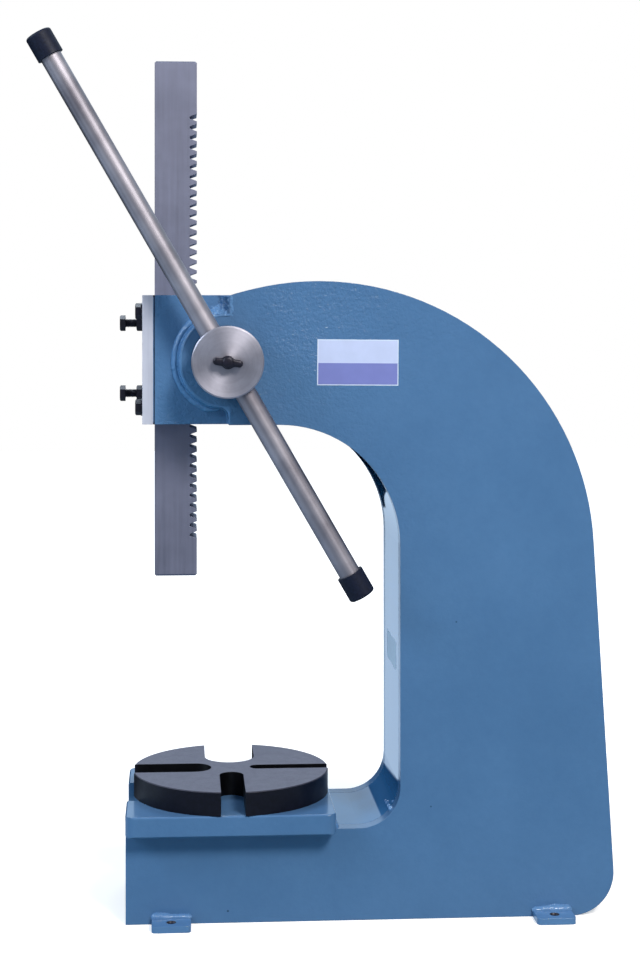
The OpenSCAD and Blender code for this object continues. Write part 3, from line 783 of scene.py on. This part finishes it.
def fasteners():
    """Cover bolts, lock nuts and threaded adjusting screws, in the CAD's places."""
    bolt_low, bolt_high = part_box("cover_bolts")
    nut_low, nut_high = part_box("lock_nuts")
    screw_low, screw_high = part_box("adjusting_screws")
    washer_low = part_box("cover_washers")[0]
    flats = 13 * MM
    head = 5.3 * MM
    corner = flats / 2 / math.cos(math.pi / 6)
    bolts = []
    for y in (bolt_low.y + flats / 2, bolt_high.y - flats / 2):
        for z in (bolt_low.z + corner, bolt_high.z - corner):
            bolts.append(hexagon((y, z), flats, bolt_low.x, washer_low.x))
    heads = sharpen(piece("cover_bolt_heads", *merge(bolts), OXIDE, "frame", "black_oxide"))
    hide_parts("cover_bolts")
    nuts, screws = [], []
    for z in (nut_low.z + corner, nut_high.z - corner):
        nuts.append(hexagon((0, z), flats, nut_low.x, nut_high.x))
        screws.append(hexagon((0, z), flats, screw_low.x, screw_low.x + head))
        screws.append(thread((0, z), 4 * MM, screw_low.x + head, screw_high.x))
    pair = sharpen(piece("lock_nut_pair", *merge(nuts), OXIDE, "frame", "black_oxide"))
    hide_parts("lock_nuts")
    threaded = sharpen(piece("threaded_screws", *merge(screws), OXIDE, "frame", "black_oxide"))
    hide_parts("adjusting_screws")


def wing_nut_outline(grow):
    """The outline of a boss with two wings that flow into it, moved out by grow, in metres."""
    count = 96

    def outside_by(x, z):
        boss = math.hypot(x, z) - 6.2 * MM
        wing = math.hypot(max(0.0, abs(x) - 10.1 * MM), z) - 3.5 * MM
        mix = max(0.0, 1.6 * MM - abs(boss - wing)) / (1.6 * MM)
        return min(boss, wing) - mix * mix * 0.4 * MM
    ring = []
    for k in range(count):
        a = 2 * math.pi * k / count
        low, high = 0.0, 20 * MM
        for _ in range(26):
            half = (low + high) / 2
            if outside_by(half * math.cos(a), half * math.sin(a)) > grow:
                high = half
            else:
                low = half
        ring.append((low * math.cos(a), low * math.sin(a)))
    return ring


def wing_screw():
    """The clamping screw's head, cast with rounded edges, in the CAD screw's place."""
    low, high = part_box("wing_screw")
    turn = math.radians(6)
    front = low.y + 1 * MM
    back = front + 9 * MM
    levels = [(front, -2.4 * MM), (front + 0.15 * MM, -1.5 * MM), (front + 0.55 * MM, -0.75 * MM),
              (front + 1.2 * MM, -0.25 * MM), (front + 2.2 * MM, 0.0), (back - 0.6 * MM, 0.0),
              (back, -0.5 * MM)]
    rings = []
    for y, grow in levels:
        rings.append([Vector((SHAFT.x + x * math.cos(turn) + z * math.sin(turn), y,
                              SHAFT.z - x * math.sin(turn) + z * math.cos(turn)))
                      for x, z in wing_nut_outline(grow)])
    parts = [ringed(rings)]
    boss = [(0, 0), (3.6 * MM, 0), (4.6 * MM, 0.4 * MM), (5.2 * MM, 1.2 * MM), (5.2 * MM, 2.5 * MM)]
    parts.append(lathe(boss, (SHAFT.x, low.y, SHAFT.z), (0, 1, 0), 48))
    reach = high.y - back + 1 * MM
    shank = [(4 * MM, 0), (4 * MM, reach - 0.01 * MM), (0, reach)]
    parts.append(lathe(shank, (SHAFT.x, back - 1 * MM, SHAFT.z), (0, 1, 0), 32))
    winged = piece("winged_screw", *merge(parts), OXIDE, "wing_screw", "black_oxide")
    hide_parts("wing_screw")


def hole_shade_sleeves():
    """Thin black sleeves on the foot holes' walls, as painted shade inside the holes."""
    parts = []
    outer, inner = LUG_HOLE_R + 0.02 * MM, LUG_HOLE_R - 0.08 * MM
    for _, _, sign, low, high in foot_lugs():
        centre = ((low.x + high.x) / 2, sign * LUG_HOLE_Y, low.z)
        deep = high.z - low.z - 0.1 * MM
        wall = [(outer, 0), (inner, 0), (inner, deep), (outer, deep)]
        parts.append(lathe(wall, centre, (0, 0, 1), 48))
    piece("foot_hole_shade_walls", *merge(parts), OXIDE, "frame", "black_oxide")


fasteners()
wing_screw()
hole_shade_sleeves()


# ---------- cover joint, blank label and sticker ----------

def slab(name, low, high, mat, slot):
    """A thin plate on the frame, whose low face is a little smaller than its high one."""
    thin = min(range(3), key=lambda k: high[k] - low[k])
    a, b = [k for k in range(3) if k != thin]
    verts = []
    for level, inset in ((high[thin], 0.0), (low[thin], 0.2 * MM)):
        for u, v in ((0, 0), (1, 0), (1, 1), (0, 1)):
            p = [0, 0, 0]
            p[thin] = level
            p[a] = high[a] - inset if u else low[a] + inset
            p[b] = high[b] - inset if v else low[b] + inset
            verts.append(p)
    faces = [(0, 1, 2, 3), (7, 6, 5, 4), (0, 4, 5, 1), (1, 5, 6, 2), (2, 6, 7, 3), (3, 7, 4, 0)]
    piece(name, verts, faces, mat, "frame", slot, smooth=False)


def joint_shade_strip():
    """A black strip at the joint behind the cover, as painted shade in the joint, in two halves
    that stay clear of the ram's channel.
    """
    proud_y, proud_z, clear = 0.12 * MM, 0.1 * MM, 1 * MM
    for side, inner, outer in (("near", RAM_LOW.y - clear, HEAD_LOW.y - proud_y),
                               ("far", RAM_HIGH.y + clear, HEAD_HIGH.y + proud_y)):
        slab("joint_shade_strip_" + side, (HEAD_LOW.x, min(inner, outer), HEAD_LOW.z - proud_z),
             (HEAD_LOW.x + 1.5 * MM, max(inner, outer), HEAD_HIGH.z + proud_z),
             OXIDE, "black_oxide")


def web_sticker():
    slab("web_sticker", (WEB_X - 0.2 * MM, -37 * MM, 224 * MM), (WEB_X, 37 * MM, 251 * MM),
         STICKER, "cover_steel")


def blank_label():
    """A plate in two plain colours with a pale border, set a little askew."""
    low = Vector((RAM_X + 130.7 * MM, 0, 495.3 * MM))
    high = Vector((RAM_X + 206.2 * MM, 0, 537.8 * MM))
    border = 0.9 * MM
    split = low.z + 0.485 * (high.z - low.z)
    back = -PLATE_FACE
    blocks = [(low.x, low.z, high.x, high.z, 0.25 * MM, 0),
              (low.x + border, split, high.x - border, high.z - border, 0.32 * MM, 1),
              (low.x + border, low.z + border, high.x - border, split, 0.32 * MM, 2)]
    verts, faces, marks = [], [], []
    sides = ((3, 2, 1, 0), (4, 5, 6, 7), (0, 1, 5, 4), (1, 2, 6, 5), (2, 3, 7, 6), (3, 0, 4, 7))
    for x0, z0, x1, z1, thick, mark in blocks:
        start = len(verts)
        for y in (back, back - thick):
            verts += [Vector((x, y, z)) for x, z in ((x0, z0), (x1, z0), (x1, z1), (x0, z1))]
        faces += [tuple(start + k for k in f) for f in sides]
        marks += [mark] * len(sides)
    pin = (low + high) / 2
    turn = Matrix.Rotation(math.radians(0.5), 4, "Y")
    askew = Matrix.Translation(pin) @ turn @ Matrix.Translation(-pin)
    verts = [askew @ v for v in verts]
    mats = [LABEL_EDGE, LABEL_PALE, LABEL_VIOLET]
    piece("blank_label", verts, faces, mats, "frame", "cover_steel", smooth=False, face_mats=marks)


LABEL_EDGE = printed("label_edge", srgb(224, 226, 240))
LABEL_PALE = printed("label_pale", srgb(206, 206, 232))
LABEL_VIOLET = printed("label_violet", srgb(128, 128, 188))
STICKER = printed("plain_sticker", srgb(226, 232, 246))
joint_shade_strip()
blank_label()
web_sticker()


# ---------- floor, light and camera ----------

def shader_mix(tree, fac, a, b):
    """Shader a where fac is 0, and b where it is 1."""
    made = tree.nodes.new("ShaderNodeMixShader")
    tree.links.new(fac, made.inputs["Fac"])
    tree.links.new(a, made.inputs[1])
    tree.links.new(b, made.inputs[2])
    return made.outputs[0]


def soft_step(tree, value, start, end, low=0.0, high=1.0):
    """A number that eases from low to high as value goes from start to end."""
    made = tree.nodes.new("ShaderNodeMapRange")
    made.interpolation_type = "SMOOTHSTEP"
    for key, number in (("From Min", start), ("From Max", end), ("To Min", low), ("To Max", high)):
        made.inputs[key].default_value = number
    tree.links.new(value, made.inputs["Value"])
    return made.outputs["Result"]


def glow(tree, kind, colour, strength):
    """An emission or background shader; strength is a socket or a number."""
    made = tree.nodes.new(kind)
    made.inputs["Color"].default_value = colour
    feed(tree, made.inputs["Strength"], strength)
    return made.outputs[0]


COOL_WHITE = (0.60, 0.78, 1.0, 1)


def floor():
    """White to the camera, with the object's soft shadow; cool and pale in reflections."""
    mesh = bpy.data.meshes.new("floor")
    mesh.from_pydata([(-5, -6, 0), (5, -6, 0), (5, 5.5, 0), (-5, 5.5, 0)], [], [(0, 1, 2, 3)])
    made = bpy.data.objects.new("floor", mesh)
    bpy.context.scene.collection.objects.link(made)
    mat = bpy.data.materials.new("studio_floor")
    mat.use_nodes = True
    tree = mat.node_tree
    tree.nodes.clear()
    path = tree.nodes.new("ShaderNodeLightPath")
    coords = tree.nodes.new("ShaderNodeTexCoord")
    distance = vector_node(tree, "LENGTH", coords.outputs["Object"])
    parts = tree.nodes.new("ShaderNodeSeparateXYZ")
    tree.links.new(coords.outputs["Object"], parts.inputs[0])
    white = tree.nodes.new("ShaderNodeBsdfDiffuse")
    white.inputs["Color"].default_value = (0.8, 0.72, 0.66, 1)
    lift = glow(tree, "ShaderNodeEmission", (1, 1, 1, 1),
                soft_step(tree, distance, 0.4, 0.75, 0.55, 1.0))
    seen = tree.nodes.new("ShaderNodeAddShader")
    tree.links.new(white.outputs[0], seen.inputs[0])
    tree.links.new(lift, seen.inputs[1])
    grey = tree.nodes.new("ShaderNodeBsdfDiffuse")
    grey.inputs["Color"].default_value = (0.15, 0.34, 0.38, 1)

    def beyond(across, along, level):
        """1 on the far side of the line across * x + along * y = level."""
        side = vector_node(tree, "DOT_PRODUCT", coords.outputs["Object"], (across, along, 0))
        return soft_step(tree, side, level - 0.008, level + 0.008)

    def product(a, b):
        return math_node(tree, "MULTIPLY", a, b)

    def other(value):
        return math_node(tree, "SUBTRACT", 1, value)

    # The pale floor ends behind and on the left; the throat's corners mirror its edges
    inside = product(beyond(1, 0.295, 0.101), beyond(1, 0.12, -0.022))
    past_side = product(other(inside), beyond(0, 1, 0.25))
    past_end = product(beyond(0, 1, 2.55), beyond(1, 0.298, 0.655))
    clear = product(other(past_side), other(past_end))
    glowing = product(clear, soft_step(tree, parts.outputs["Y"], -0.35, 0.15, 0.6, 1.12))
    mirrored = glow(tree, "ShaderNodeEmission", COOL_WHITE, glowing)
    surface = shader_mix(tree, path.outputs["Is Glossy Ray"], grey.outputs[0], mirrored)
    surface = shader_mix(tree, path.outputs["Is Transmission Ray"], surface, seen.outputs[0])
    surface = shader_mix(tree, path.outputs["Is Camera Ray"], surface, seen.outputs[0])
    out = tree.nodes.new("ShaderNodeOutputMaterial")
    tree.links.new(surface, out.inputs["Surface"])
    mesh.materials.append(mat)


def studio_world():
    """White behind the object, an even fill, and a studio with a dim band for the metal to show."""
    world = bpy.data.worlds.new("studio")
    bpy.context.scene.world = world
    world.use_nodes = True
    tree = world.node_tree
    tree.nodes.clear()
    path = tree.nodes.new("ShaderNodeLightPath")
    coords = tree.nodes.new("ShaderNodeTexCoord")
    parts = tree.nodes.new("ShaderNodeSeparateXYZ")
    tree.links.new(coords.outputs["Generated"], parts.inputs[0])
    behind = soft_step(tree, parts.outputs["Y"], -0.25, 0.3)
    level = glow(tree, "ShaderNodeBackground", (0.40, 0.68, 1.0, 1), 0.42)
    back = glow(tree, "ShaderNodeBackground", (0.68, 0.86, 1.0, 1),
                soft_step(tree, parts.outputs["Z"], 0.182, 0.198, 0.02, 1.0))
    front = glow(tree, "ShaderNodeBackground", (0.9, 0.94, 1.0, 1),
                 soft_step(tree, parts.outputs["Z"], 0.1, 0.8, 0.42, 0.5))
    white = glow(tree, "ShaderNodeBackground", (1, 1, 1, 1), 1.0)
    mirrored = shader_mix(tree, behind, front, back)
    seen = shader_mix(tree, path.outputs["Is Glossy Ray"], level, mirrored)
    seen = shader_mix(tree, path.outputs["Is Transmission Ray"], seen, white)
    seen = shader_mix(tree, path.outputs["Is Camera Ray"], seen, white)
    out = tree.nodes.new("ShaderNodeOutputWorld")
    tree.links.new(seen, out.inputs["Surface"])


def area_light(name, place, target, size, power, colour):
    data = bpy.data.lights.new(name, "AREA")
    data.shape = "RECTANGLE"
    data.size, data.size_y = size
    data.energy = power
    data.color = colour
    made = bpy.data.objects.new(name, data)
    made.location = place
    made.rotation_euler = (Vector(target) - Vector(place)).to_track_quat("-Z", "Y").to_euler()
    bpy.context.scene.collection.objects.link(made)


def camera():
    """Level camera, turned a little to the right; the shift frames the press as the lens saw it."""
    data = bpy.data.cameras.new("camera")
    focal_px = 1847.66
    axis_px = (296.13, 306.42)
    data.sensor_width = 36
    data.lens = focal_px / IMAGE_H * data.sensor_width
    data.shift_x = (IMAGE_W / 2 - axis_px[0]) / IMAGE_H
    data.shift_y = (axis_px[1] - IMAGE_H / 2) / IMAGE_H
    data.clip_start, data.clip_end = 0.05, 60
    made = bpy.data.objects.new("camera", data)
    made.location = (RAM_X + 2.05 * MM, -1775.4 * MM, 568.5 * MM)
    made.rotation_euler = (math.radians(90), 0, math.radians(-3.66))
    bpy.context.scene.collection.objects.link(made)
    bpy.context.scene.camera = made


floor()
studio_world()
area_light("front_softbox", (1.07, -2.5, 2.6), SHAFT, (0.85, 0.85), 108, (1.0, 0.97, 0.93))
area_light("left_softbox", (-2.3, -0.9, 1.9), SHAFT, (1.0, 1.0), 40, (0.72, 0.86, 1.0))
area_light("rear_softbox", (-0.1, 1.6, 2.4), (-0.05, 0, 0.2), (0.8, 0.8), 22, (0.82, 0.92, 1.0))
camera()
bpy.context.scene.view_settings.view_transform = "Standard"
